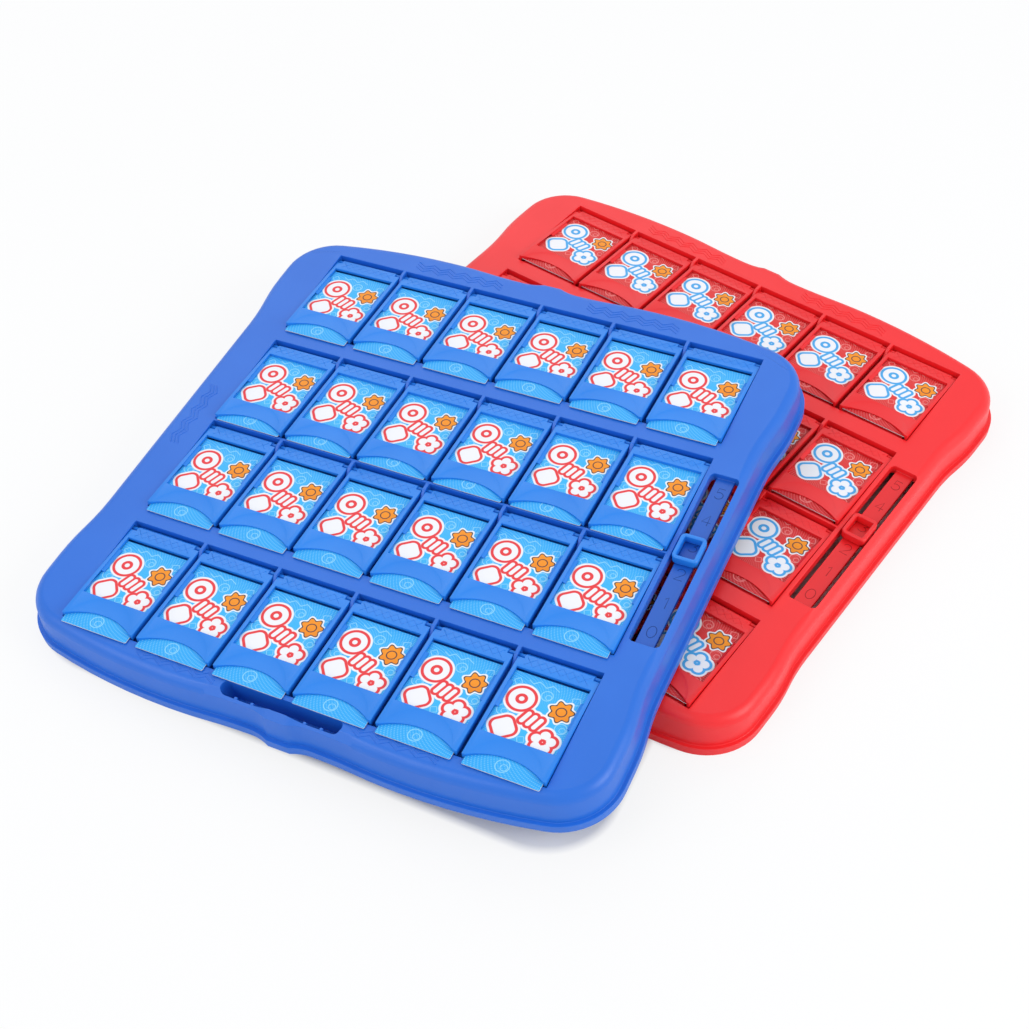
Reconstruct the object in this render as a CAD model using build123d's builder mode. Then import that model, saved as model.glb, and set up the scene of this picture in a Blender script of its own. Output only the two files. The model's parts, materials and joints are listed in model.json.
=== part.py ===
from build123d import *
from math import asin, cos, degrees, radians, sin, sqrt, tan
import os

os.makedirs("parts", exist_ok=True)

# A guessing game of two alike boards, in millimetres. Each board is a hollow
# moulded tray with four rows of six pockets. A flip frame with a picture card is
# hinged in each pocket, a marker slides along the score slot on the right, and a
# slot at the near edge holds the secret card. The red board lies flat and the
# blue one leans on it. The origin is under the middle of both, on the table.

# Pocket grid, seen from a board's middle: +X along a row, +Y to the far edge
columns = 6
column_pitch = 37.0
row_bands = (9.3, 1.1, 9.2)
left_margin = 26.0
right_margin = 23.2
far_margin = 18.45
near_margin = 13.65

# Tray shell
board_height = 19.0
pocket_depth = 5.4
corner_radius = 27.0
corner_run = 9.8
edge_radius = 293.0
lobe_offset = 54.0
waist_dip = 2.9
waist_blend = 34.0
dip_offset = 14.0
dip_depth = 1.6
bump_half = 5.0
bump_height = 2.0
deck_bevel = 2.8
deck_wall = 1.8
shell_wall = 1.8
tub_wall = 1.6
flange_step = 1.8
flange_height = 4.2
wall_draft = 4.5

# Dividers between the pockets, and the ledges that the frames' lips rest on
divider_width = 1.6
divider_flat = 3.9
divider_length = 9.6
ledge_length = 2.4
ledge_inset = 2.4

# Flip frame, measured from its hinge axis. At rest its lip is lip_rise over the deck
side_gap = 0.3
frame_top = 1.7
frame_bottom = 1.3
frame_length = 52.3
frame_back = 1.8
hinge_setback = 2.5
hinge_drop = 2.7
lip_rise = 0.6204
bar_end = 6.5
lip_length = 12.6
lip_gap = 0.5
rail_width = 1.6
groove_depth = 0.5
groove_start = 3.2
notch_width = 2.7
notch_end = 2.0
finger_radius = 28.0
finger_depth = 5.0
seat_gap = 0.3

# Six-sided hinge pins in square holes through the dividers
pin_radius = 1.0
pin_sides = 6
pin_clearance = 0.2
pin_tip_gap = 0.3

# Picture card, and how far it stands out of the lip where it isn't pushed home
card_thickness = 0.5
card_clearance = 0.15
card_end_gap = 0.8
card_stub = 3.4
card_inset = 0.4
next_row_gap = 0.3

# Score slot with its scale, and the marker that slides on it
score_length = 94.5
score_width = 12.8
score_rail = 2.2
score_y = -1.9
score_corner = 2.0
scale_width = 8.2
scale_drop = 2.5
scale_thickness = 2.0
marker_length = 14.0
marker_wall = 1.8
marker_rise = 1.8
marker_corner = 2.0
marker_edge = 0.6
marker_y = 1.8
leg_length = 8.0
leg_thickness = 1.3
hook_reach = 0.9
hook_height = 0.8
slide_gap = 0.3

# Secret card slot at the near edge, with ribs on its near wall
secret_length = 55.0
secret_width = 6.0
secret_rail = 2.3
secret_depth = 12.0
secret_rib_width = 1.2
secret_rib_depth = 0.9
secret_rib_drop = 1.5
secret_rib_offsets = (-19.5, -12.0, 12.0, 19.5)

# Where the blue board's middle is from the red one's, and how it is turned
lean_x = -39.2
lean_y = -95.1
lean_turn = 11.4
lean_gap = 0.3
floor_gap = 0.1

# Sizes of a frame and its pocket
lip_climb = hinge_drop + lip_rise
rest_tilt = degrees(asin(lip_climb / frame_length))
lip_run = frame_length * cos(radians(rest_tilt))
frame_width = column_pitch - divider_width - 2 * side_gap
groove_width = frame_width - 2 * (rail_width - groove_depth)
groove_height = card_thickness + 2 * card_clearance
card_length = frame_length - groove_start - card_end_gap
pocket_length = hinge_setback + lip_run + lip_gap
pocket_floor = board_height - pocket_depth
pin_reach = side_gap + (divider_width - pin_tip_gap) / 2
pin_hole = 2 * (pin_radius + pin_clearance)
ledge_top = board_height - hinge_drop - frame_bottom + lip_climb - seat_gap

# Sizes of a board
row_steps = [pocket_length + band for band in row_bands]
rows_length = sum(row_steps) + pocket_length
trough_width = columns * column_pitch - divider_width
rim_width = trough_width + left_margin + right_margin
rim_depth = rows_length + far_margin + near_margin
half_width = rim_width / 2
half_depth = rim_depth / 2
grid_shift = (left_margin - right_margin) / 2
row_edges = [half_depth - far_margin - sum(row_steps[:row]) for row in range(len(row_steps) + 1)]
pocket_middles = [grid_shift + (column - (columns - 1) / 2) * column_pitch for column in range(columns)]
pocket_sides = [grid_shift + (column - columns / 2) * column_pitch for column in range(1, columns)]
wall_rise = board_height - flange_height
hollow_x = half_width - waist_dip - shell_wall - flange_step
hollow_y = half_depth - dip_depth - shell_wall - flange_step
deck_inset = flange_step + wall_rise * tan(radians(wall_draft)) + deck_bevel
edge_turn = asin((half_width - corner_radius - lobe_offset) / (edge_radius - corner_radius))
corner_y = half_depth - edge_radius + (edge_radius - corner_radius) * cos(edge_turn)
waist_half = corner_y - corner_run - waist_blend
score_x = grid_shift + trough_width / 2 + score_rail + score_width / 2
scale_top = board_height - scale_drop
marker_width = scale_width + 2 * (slide_gap + leg_thickness)
secret_y = near_margin - half_depth - secret_rail - secret_width / 2


def outline(inset):
    # Waisted sides, bulged corners and a bump in the middle of both long edges
    waist_x = half_width - waist_dip
    dip_y = half_depth - dip_depth
    bump_y = dip_y + bump_height
    corner_half = (radians(90) - edge_turn) / 2
    corner_start = (half_width, corner_y)
    corner_middle = (
        half_width - corner_radius * (1 - cos(corner_half)),
        corner_y + corner_radius * sin(corner_half),
    )
    corner_end = (
        lobe_offset + edge_radius * sin(edge_turn),
        half_depth - edge_radius * (1 - cos(edge_turn)),
    )
    blend_middle = (half_width - waist_dip / 2, waist_half + waist_blend / 2)
    fall_middle = ((lobe_offset + dip_offset) / 2, half_depth - dip_depth / 2)
    with BuildSketch() as area:
        with BuildLine():
            Line((waist_x, 0), (waist_x, waist_half))
            blend = TangentArc((waist_x, waist_half), blend_middle, tangent=(0, 1))
            TangentArc(blend_middle, (half_width, waist_half + waist_blend), tangent=blend % 1)
            Line((half_width, waist_half + waist_blend), corner_start)
            ThreePointArc(corner_start, corner_middle, corner_end)
            TangentArc(corner_end, (lobe_offset, half_depth), tangent=(-cos(edge_turn), sin(edge_turn)))
            fall = TangentArc((lobe_offset, half_depth), fall_middle, tangent=(-1, 0))
            TangentArc(fall_middle, (dip_offset, dip_y), tangent=fall % 1)
            TangentArc((dip_offset, dip_y), (bump_half, bump_y), tangent=(-1, 0))
            Line((bump_half, bump_y), (0, bump_y))
            mirror(about=Plane.YZ)
            mirror(about=Plane.XZ)
        make_face()
        if inset:
            offset(amount=-inset)
    return area.sketch


def row_areas(margin):
    # One trough outline for each row, grown by margin on every side
    with BuildSketch() as areas:
        for edge in row_edges:
            with Locations((grid_shift, edge - pocket_length / 2)):
                Rectangle(trough_width + 2 * margin, pocket_length + 2 * margin)
    return areas.sketch


def make_hollow():
    # The space under the deck, less the tubs of the troughs and slots
    inner_radius = corner_radius - shell_wall - flange_step
    inner_edge = edge_radius - shell_wall - flange_step
    corner_x = half_width - corner_radius
    with BuildPart() as hollow:
        with BuildSketch():
            with BuildLine():
                Polyline(
                    (hollow_x, 0),
                    (hollow_x, corner_y),
                    (corner_x + inner_radius * sqrt(0.5), corner_y + inner_radius * sqrt(0.5)),
                    (
                        lobe_offset + inner_edge * sin(edge_turn),
                        half_depth - edge_radius + inner_edge * cos(edge_turn),
                    ),
                    (lobe_offset, hollow_y),
                    (0, hollow_y),
                )
                mirror(about=Plane.YZ)
                mirror(about=Plane.XZ)
            make_face()
        extrude(amount=board_height - deck_wall, taper=wall_draft)
        with BuildSketch(Plane.XY.offset(pocket_floor - tub_wall)):
            add(row_areas(tub_wall))
        extrude(amount=board_height, mode=Mode.SUBTRACT)
        with BuildSketch(Plane.XY.offset(scale_top - scale_thickness)):
            with Locations((score_x, score_y)):
                Rectangle(score_width + 2 * tub_wall, score_length + 2 * tub_wall)
        extrude(amount=board_height, mode=Mode.SUBTRACT)
        with BuildSketch(Plane.XY.offset(board_height - secret_depth - tub_wall)):
            with Locations((0, secret_y)):
                Rectangle(secret_length + 2 * tub_wall, secret_width + 2 * tub_wall)
        extrude(amount=board_height, mode=Mode.SUBTRACT)
    return hollow.part


def make_dividers():
    # Wedges between neighbouring frames, which carry their hinge pins
    with BuildPart() as dividers:
        for side in pocket_sides:
            with BuildSketch(Plane.YZ.offset(side)):
                for edge in row_edges:
                    with BuildLine():
                        Polyline(
                            (edge, pocket_floor),
                            (edge, board_height),
                            (edge - divider_flat, board_height),
                            (edge - divider_length, pocket_floor),
                            close=True,
                        )
                    make_face()
        extrude(amount=divider_width / 2, both=True)
    return dividers.part


def make_pin_holes():
    # Square bars through the dividers of each row and into both end walls
    with BuildPart() as holes:
        with BuildSketch(Plane.YZ.offset(grid_shift)):
            for edge in row_edges:
                with Locations((edge - hinge_setback, board_height - hinge_drop)):
                    Rectangle(pin_hole, pin_hole)
        extrude(amount=trough_width / 2 + pin_reach, both=True)
    return holes.part


def make_tray():
    with BuildPart() as tray:
        add(outline(0))
        extrude(amount=flange_height)
        with BuildSketch(Plane.XY.offset(flange_height)):
            add(outline(flange_step))
        extrude(amount=wall_rise, taper=wall_draft)
        deck = tray.faces().sort_by(Axis.Z)[-1]
        chamfer(deck.outer_wire().edges(), deck_bevel)
        add(make_hollow(), mode=Mode.SUBTRACT)
        with BuildSketch(Plane.XY.offset(pocket_floor)):
            add(row_areas(0))
        extrude(amount=pocket_depth, mode=Mode.SUBTRACT)
        add(make_dividers())
        with BuildSketch(Plane.XY.offset(pocket_floor)):
            for edge in row_edges:
                ledge_y = edge - pocket_length + ledge_length / 2
                with Locations([(middle, ledge_y) for middle in pocket_middles]):
                    Rectangle(frame_width - 2 * ledge_inset, ledge_length)
        extrude(amount=ledge_top - pocket_floor)
        add(make_pin_holes(), mode=Mode.SUBTRACT)
        with BuildSketch(Plane.XY.offset(scale_top - scale_thickness)):
            with Locations((score_x, score_y)):
                RectangleRounded(score_width, score_length, score_corner)
        extrude(amount=board_height, mode=Mode.SUBTRACT)
        with BuildSketch(Plane.XY.offset(scale_top - scale_thickness)):
            with Locations((score_x, score_y)):
                Rectangle(scale_width, score_length + tub_wall)
        extrude(amount=scale_thickness)
        with BuildSketch(Plane.XY.offset(board_height - secret_depth)):
            with Locations((0, secret_y)):
                SlotOverall(secret_length, secret_width)
        extrude(amount=secret_depth, mode=Mode.SUBTRACT)
        with BuildSketch(Plane.XY.offset(board_height - secret_depth)):
            rib_y = secret_y - (secret_width - secret_rib_depth) / 2
            with Locations([(offset_x, rib_y) for offset_x in secret_rib_offsets]):
                Rectangle(secret_rib_width, secret_rib_depth)
        extrude(amount=secret_depth - secret_rib_drop)
    return tray.part


def make_frame():
    # Built flat with the hinge axis along X through the origin and the lip to -Y
    window_length = frame_length - lip_length - bar_end
    with BuildPart() as frame:
        with BuildSketch(Plane.YZ):
            with BuildLine():
                Polyline(
                    (-frame_length, frame_top),
                    (0, frame_top),
                    (frame_back, 0),
                    (frame_back, -frame_bottom),
                    (-frame_length, -frame_bottom),
                    close=True,
                )
            make_face()
        extrude(amount=frame_width / 2, both=True)
        with BuildSketch():
            with Locations((0, -bar_end - window_length / 2)):
                Rectangle(frame_width - 2 * rail_width, window_length)
            with Locations((0, finger_depth - frame_length - finger_radius)):
                Circle(finger_radius)
            for side in (-1, 1):
                with Locations((side * (frame_width - notch_width) / 2, (frame_back - notch_end) / 2)):
                    Rectangle(notch_width, frame_back + notch_end)
        extrude(amount=2 * frame_top, both=True, mode=Mode.SUBTRACT)
        with BuildSketch(Plane.XZ.offset(groove_start)):
            with Locations((0, (groove_height - 2 * frame_bottom) / 2)):
                Rectangle(groove_width, 2 * frame_bottom)
        extrude(amount=frame_length, mode=Mode.SUBTRACT)
        for side in (-1, 1):
            with BuildSketch(Plane.YZ.offset(side * (frame_width / 2 - notch_width))):
                RegularPolygon(pin_radius, pin_sides)
            extrude(amount=side * (notch_width + pin_reach))
    return frame.part


def make_card(stub):
    # Its near edge is stub beyond the lip, or inside it where stub is negative
    with BuildPart() as card:
        with BuildSketch(Plane.XY.offset(-card_thickness / 2)):
            with Locations((0, card_length / 2 - frame_length - stub)):
                Rectangle(groove_width - 2 * card_clearance, card_length)
        extrude(amount=card_thickness)
    return card.part


def make_marker():
    # The ring stands on the scale, and its two legs hook under it
    hook_top = scale_top - scale_thickness - slide_gap
    leg_x = (marker_width - leg_thickness) / 2
    with BuildPart() as marker:
        with BuildSketch(Plane.XY.offset(scale_top + slide_gap)) as ring:
            Rectangle(marker_width, marker_length)
            chamfer(ring.vertices(), marker_corner)
        extrude(amount=scale_drop - slide_gap + marker_rise)
        chamfer(marker.faces().sort_by(Axis.Z)[-1].edges(), marker_edge)
        with BuildSketch(Plane.XY.offset(scale_top)):
            Rectangle(marker_width - 2 * marker_wall, marker_length - 2 * marker_wall)
        extrude(amount=board_height, mode=Mode.SUBTRACT)
        with BuildSketch(Plane.XY.offset(hook_top - hook_height)):
            with Locations((-leg_x, 0), (leg_x, 0)):
                Rectangle(leg_thickness, leg_length)
        extrude(amount=scale_top + 2 * slide_gap - hook_top + hook_height)
        with BuildSketch(Plane.XY.offset(hook_top - hook_height)):
            for side in (-1, 1):
                with Locations((side * (leg_x - (hook_reach + slide_gap) / 2), 0)):
                    Rectangle(leg_thickness + hook_reach + slide_gap, leg_length)
        extrude(amount=hook_height)
    return marker.part


def lean_plane():
    # The blue rim stands on three points: its near left corner on the table, the
    # inner foot of its far wall on the left edge of the red deck, and its right
    # edge on the lip of the last red frame
    row_way = Vector(cos(radians(lean_turn)), sin(radians(lean_turn)))
    far_way = Vector(-row_way.Y, row_way.X)
    middle = Vector(lean_x, lean_y)
    corner_reach = corner_radius * (1 - sqrt(0.5))
    table_point = (
        middle
        - row_way * (half_width - corner_reach)
        - far_way * (corner_y + corner_radius * sqrt(0.5))
        + Vector(0, 0, floor_gap)
    )
    deck_x = waist_dip + deck_inset - half_width
    far_run = (deck_x - lean_x - hollow_y * far_way.X) / row_way.X
    deck_point = middle + far_way * hollow_y + row_way * far_run
    deck_point += Vector(0, 0, board_height + lean_gap)
    lip_y = row_edges[-1] - hinge_setback - lip_run
    side_run = (lip_y - lean_y - half_width * row_way.Y) / far_way.Y
    lip_point = middle + row_way * half_width + far_way * side_run
    lip_height = lip_climb + frame_top * cos(radians(rest_tilt)) - hinge_drop
    lip_point += Vector(0, 0, board_height + lip_height + lean_gap)
    upright = (lip_point - table_point).cross(deck_point - table_point).normalized()
    middle_height = upright.dot(table_point - middle) / upright.Z
    row_rise = -upright.dot(row_way) / upright.Z
    return Plane(
        origin=middle + Vector(0, 0, middle_height),
        x_dir=row_way + Vector(0, 0, row_rise),
        z_dir=upright,
    )


def card_reach(colour, row):
    # Red cards are pushed home. Blue ones stand out, short of the next hinge row
    if colour == "red":
        return -card_inset
    if row == len(row_steps):
        return card_stub
    return min(card_stub, row_steps[row] - hinge_setback - next_row_gap - lip_run)


def export(shape, name):
    shape.label = name
    export_step(shape, f"parts/{name}.step")


tray = make_tray()
frame = make_frame()
marker = make_marker()

# Both rims about the red board's middle, then about the middle of the pair
rims = {"red": Plane.XY.location, "blue": lean_plane().location}
spread = Compound([tray.moved(rim) for rim in rims.values()]).bounding_box().center()
boards = {colour: Location((-spread.X, -spread.Y, 0)) * rim for colour, rim in rims.items()}

for colour, board in boards.items():
    export(tray.moved(board), f"{colour}_tray")
    export(marker.moved(board * Location((score_x, marker_y, 0))), f"{colour}_marker")
    for row, edge in enumerate(row_edges):
        card = make_card(card_reach(colour, row))
        for column, middle in enumerate(pocket_middles):
            hinge = Location((middle, edge - hinge_setback, board_height - hinge_drop), (-rest_tilt, 0, 0))
            flip = Compound([frame.moved(board * hinge), card.moved(board * hinge)])
            export(flip, f"{colour}_flip_r{row + 1}c{column + 1}")
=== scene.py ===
import json
import math

import bpy
from mathutils import Matrix, Vector


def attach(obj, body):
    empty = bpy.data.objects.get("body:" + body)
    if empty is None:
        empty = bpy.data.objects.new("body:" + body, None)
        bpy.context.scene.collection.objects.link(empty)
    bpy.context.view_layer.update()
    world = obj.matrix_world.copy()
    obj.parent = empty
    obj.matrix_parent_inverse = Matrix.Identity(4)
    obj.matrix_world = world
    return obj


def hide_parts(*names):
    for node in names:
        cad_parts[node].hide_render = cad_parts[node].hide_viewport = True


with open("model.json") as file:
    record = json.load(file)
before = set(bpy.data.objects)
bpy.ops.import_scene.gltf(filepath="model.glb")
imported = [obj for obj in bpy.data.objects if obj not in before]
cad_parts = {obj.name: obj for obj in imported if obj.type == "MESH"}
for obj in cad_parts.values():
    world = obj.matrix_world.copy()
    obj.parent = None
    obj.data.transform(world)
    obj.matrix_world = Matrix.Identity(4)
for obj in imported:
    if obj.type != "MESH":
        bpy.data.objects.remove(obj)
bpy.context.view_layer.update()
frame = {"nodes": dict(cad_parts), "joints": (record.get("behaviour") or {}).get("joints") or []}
nodes = frame["nodes"]
joints = {joint["name"]: joint for joint in frame["joints"]}
mm = 0.001


# Where the parts sit on a board, in mm from the middle of its rim, and their tilt in degrees
boardPlan = {
    "firstHinge": (-91.1, 115.289, 16.3),
    "restTilt": -3.64,
    "deck": 19.0,
}
colours = ("red", "blue")


def boardTurn(colour):
    # The turn and place of a whole board, read from its joints
    across = -Vector(joints[f"{colour}_flip_r1c1_hinge"]["axis"])
    along = Vector(joints[f"{colour}_score_slide"]["axis"])
    turn = Matrix((across, along, across.cross(along))).transposed()
    hinge = Vector(joints[f"{colour}_flip_r1c1_hinge"]["pos_m"])
    place = hinge - turn @ (Vector(boardPlan["firstHinge"]) * mm)
    return Matrix.Translation(place) @ turn.to_4x4()


def flipTurn(colour, row, column):
    # A flip frame's own place: the hinge axis is X and the lip points to -Y
    hinge = Vector(joints[f"{colour}_flip_r{row}c{column}_hinge"]["pos_m"])
    turn = boards[colour].to_3x3().to_4x4()
    tilt = Matrix.Rotation(math.radians(boardPlan["restTilt"]), 4, "X")
    return Matrix.Translation(hinge) @ turn @ tilt


boards = {colour: boardTurn(colour) for colour in colours}


def deselectAll():
    if bpy.context.object and bpy.context.object.mode != "OBJECT":
        bpy.ops.object.mode_set(mode="OBJECT")
    bpy.ops.object.select_all(action="DESELECT")


def activate(piece):
    deselectAll()
    piece.select_set(True)
    bpy.context.view_layer.objects.active = piece


def startPart(name):
    # The primitive just added becomes a named, active piece
    piece = bpy.context.object
    piece.name = name
    piece.data.name = name
    return piece


def applyAll(piece):
    activate(piece)
    for modifier in list(piece.modifiers):
        bpy.ops.object.modifier_apply(modifier=modifier.name)


def bake(piece, matrix):
    # The place goes into the mesh, so that the object is at the origin
    piece.matrix_world = matrix
    activate(piece)
    bpy.ops.object.transform_apply(location=True, rotation=True, scale=True)


def copyOf(source, name, matrix):
    mesh = source.data.copy()
    mesh.name = name
    mesh.transform(matrix)
    piece = bpy.data.objects.new(name, mesh)
    bpy.context.scene.collection.objects.link(piece)
    return piece


def mergedCopy(nodeName, name, matrix, cuts=((), ()), healed=None):
    # A CAD node's loose triangles, merged to whole faces in their own place.
    # Straight cuts across x and y, in mm, leave no face with a hole, so its edges round evenly.
    # A cut is closed again along the edges that healed() chooses
    piece = copyOf(nodes[nodeName], name, matrix)
    activate(piece)
    bpy.ops.object.mode_set(mode="EDIT")
    bpy.ops.mesh.select_mode(type="EDGE")
    bpy.ops.mesh.select_all(action="SELECT")
    bpy.ops.mesh.remove_doubles(threshold=1e-6)
    for axis, places in enumerate(cuts):
        for place in places:
            spot = [0.0, 0.0, 0.0]
            spot[axis] = place * mm
            normal = [0.0, 0.0, 0.0]
            normal[axis] = 1.0
            bpy.ops.mesh.select_all(action="SELECT")
            bpy.ops.mesh.bisect(plane_co=spot, plane_no=normal, threshold=1e-6)
            bpy.ops.mesh.mark_seam()
    if healed:
        bpy.ops.object.mode_set(mode="OBJECT")
        for edge, chosen in edgeValues(piece, healed):
            edge.use_seam = edge.use_seam and not chosen
        bpy.ops.object.mode_set(mode="EDIT")
    bpy.ops.mesh.select_all(action="SELECT")
    bpy.ops.mesh.dissolve_limited(angle_limit=0.001, delimit={"SEAM"})
    bpy.ops.object.mode_set(mode="OBJECT")
    return piece


def edgeValues(piece, value):
    # Each edge with what value() makes of its ends and of the normals of its faces
    mesh = piece.data
    touching = {}
    for face in mesh.polygons:
        for key in face.edge_keys:
            touching.setdefault(key, []).append(face.normal)
    for edge in mesh.edges:
        ends = [mesh.vertices[i].co for i in edge.vertices]
        yield edge, value(ends, touching.get(tuple(sorted(edge.vertices)), []))


def pickEdges(piece, wanted):
    activate(piece)
    bpy.ops.object.mode_set(mode="EDIT")
    bpy.ops.mesh.select_mode(type="EDGE")
    bpy.ops.mesh.select_all(action="DESELECT")
    bpy.ops.object.mode_set(mode="OBJECT")
    for edge, chosen in edgeValues(piece, wanted):
        if chosen:
            edge.select = True


def bevelPicked(offset, segments):
    bpy.ops.object.mode_set(mode="EDIT")
    bpy.ops.mesh.bevel(offset=offset, segments=segments, profile=0.5, clamp_overlap=False)
    bpy.ops.object.mode_set(mode="OBJECT")


def softenEdges(piece, width, segments=2, angle=0.6):
    bevel = piece.modifiers.new("soften", "BEVEL")
    bevel.width = width
    bevel.segments = segments
    bevel.limit_method = "ANGLE"
    bevel.angle_limit = angle
    applyAll(piece)


def turnOutwards(piece):
    # All faces show their front to the outside
    activate(piece)
    bpy.ops.object.mode_set(mode="EDIT")
    bpy.ops.mesh.select_all(action="SELECT")
    bpy.ops.mesh.normals_make_consistent(inside=False)
    bpy.ops.object.mode_set(mode="OBJECT")


def smoothFaces(piece, angle):
    activate(piece)
    bpy.ops.object.shade_smooth_by_angle(angle=math.radians(angle))


def repaint(piece, materials):
    # clear() also sets every face to the first slot, so the faces' own slots are put back
    kept = [face.material_index for face in piece.data.polygons]
    piece.data.materials.clear()
    for material in materials:
        piece.data.materials.append(material)
    for face, slot in zip(piece.data.polygons, kept):
        face.material_index = min(slot, len(materials) - 1)


def combine(piece, tool, operation):
    join = piece.modifiers.new("combine", "BOOLEAN")
    join.object = tool
    join.operation = operation
    join.solver = "EXACT"
    applyAll(piece)
    bpy.data.objects.remove(tool)


def mapFromAbove(piece, width, length):
    # A flat map of the face seen from above, 0 to 1 over width and length
    layer = piece.data.uv_layers.new(name="face")
    for loop in piece.data.loops:
        spot = piece.data.vertices[loop.vertex_index].co
        layer.data[loop.index].uv = (spot.x / width + 0.5, spot.y / length)


class Num:
    # A number socket that takes part in plain arithmetic
    def __init__(self, look, socket):
        self.look = look
        self.socket = socket

    def calc(self, operation, *values):
        return self.look.add("ShaderNodeMath", {"operation": operation}, dict(enumerate(values)))

    def __add__(self, other):
        return self.calc("ADD", self, other)

    def __sub__(self, other):
        return self.calc("SUBTRACT", self, other)

    def __rsub__(self, other):
        return self.calc("SUBTRACT", other, self)

    def __mul__(self, other):
        return self.calc("MULTIPLY", self, other)

    def __truediv__(self, other):
        return self.calc("DIVIDE", self, other)

    __radd__ = __add__
    __rmul__ = __mul__

    def __abs__(self):
        return self.calc("ABSOLUTE", self)

    def __mod__(self, step):
        return self.calc("FLOORED_MODULO", self, step)

    def low(self, other):
        return self.calc("MINIMUM", self, other)

    def high(self, other):
        return self.calc("MAXIMUM", self, other)

    def sine(self):
        return self.calc("SINE", self)

    def root(self):
        return self.calc("SQRT", self)

    def angleTo(self, other):
        return self.calc("ARCTAN2", self, other)


class Look:
    # The sheet of nodes behind one material, or behind the world
    def __init__(self, name, owner=None):
        self.material = owner or bpy.data.materials.new(name)
        self.material.use_nodes = True
        self.tree = self.material.node_tree
        self.tree.nodes.clear()

    def add(self, kind, settings=None, values=None, output=0):
        # Gives back one output, all of them for "all", or None where a node has none
        node = self.tree.nodes.new(kind)
        for key, value in (settings or {}).items():
            setattr(node, key, value)
        for key, value in (values or {}).items():
            if isinstance(value, Num):
                self.tree.links.new(value.socket, node.inputs[key])
            else:
                node.inputs[key].default_value = value
        if output == "all":
            return [Num(self, socket) for socket in node.outputs]
        return Num(self, node.outputs[output]) if len(node.outputs) else None

    def paint(self, under, over, mask):
        # Lays one colour over another where the mask is 1
        settings = {"data_type": "RGBA", "clamp_factor": True}
        return self.add("ShaderNodeMix", settings, {0: mask, 6: under, 7: over}, 2)

    def parts(self, vector):
        return self.add("ShaderNodeSeparateXYZ", None, {0: vector}, "all")

    def inside(self, distance, soft):
        # 1 where the distance is below 0, with an edge as wide as soft
        settings = {"clamp": True}
        values = {0: distance, 1: soft / 2, 2: -soft / 2, 3: 0.0, 4: 1.0}
        return self.add("ShaderNodeMapRange", settings, values)

    def noise(self, vector, scale, detail=2.0):
        values = {"Vector": vector, "Scale": scale, "Detail": detail}
        return self.add("ShaderNodeTexNoise", None, values)

    def bump(self, height, distance, strength):
        values = {"Height": height, "Distance": distance, "Strength": strength}
        return self.add("ShaderNodeBump", None, values)

    def mottle(self, under, over, cloud):
        # Two near tones of one plastic in soft patches
        return self.paint(under, over, (cloud - 0.35) * 1.6)

    def finish(self, colour, rough, normal, specular):
        values = {"Base Color": colour, "Roughness": rough, "Normal": normal}
        values["Specular IOR Level"] = specular
        shader = self.add("ShaderNodeBsdfPrincipled", None, values)
        self.add("ShaderNodeOutputMaterial", None, {"Surface": shader})
        return self.material


def circleGap(x, y, middleX, middleY, radius):
    dx = x - middleX
    dy = y - middleY
    return (dx * dx + dy * dy).root() - radius


def boxGap(x, y, middleX, middleY, halfX, halfY, corner, turn=0.0):
    # Distance to a rounded box that may be turned, all in mm
    dx = x - middleX
    dy = y - middleY
    if turn:
        c = math.cos(math.radians(turn))
        s = math.sin(math.radians(turn))
        dx, dy = dx * c + dy * s, dy * c - dx * s
    ax = (abs(dx) - (halfX - corner)).high(0.0)
    ay = (abs(dy) - (halfY - corner)).high(0.0)
    return (ax * ax + ay * ay).root() - corner


def zigzagGap(along, across, period, swing):
    # Distance from a zigzag line that runs along one direction
    steep = 4 * swing / period
    wave = abs(along % period - period / 2) * steep - swing
    return abs(across - wave) / math.sqrt(1 + steep * steep)


plastics = {
    "red": {
        "deck": (0.90, 0.018, 0.022, 1.0),
        "deckShade": (0.84, 0.014, 0.018, 1.0),
        "frame": (0.86, 0.016, 0.020, 1.0),
        "frameShade": (0.80, 0.013, 0.017, 1.0),
        # Painted shade: "scale" in both colours is the deck plastic painted darker where the score scale
        # lies recessed, in place of its shade
        "scale": (0.74, 0.012, 0.016, 1.0),
        # Painted shade: "number" and "numberShade" in both colours paint the moulded numbers dark, in
        # place of their shade
        "number": (0.36, 0.005, 0.008, 1.0),
        "numberShade": (0.30, 0.004, 0.007, 1.0),
    },
    "blue": {
        "deck": (0.014, 0.150, 0.660, 1.0),
        "deckShade": (0.011, 0.132, 0.610, 1.0),
        "frame": (0.016, 0.225, 0.780, 1.0),
        "frameShade": (0.013, 0.198, 0.720, 1.0),
        "scale": (0.009, 0.104, 0.510, 1.0),
        "number": (0.005, 0.044, 0.240, 1.0),
        "numberShade": (0.004, 0.036, 0.200, 1.0),
    },
    "rough": 0.36,
    "specular": 0.48,
    "numberSpecular": 0.3,
}


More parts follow.
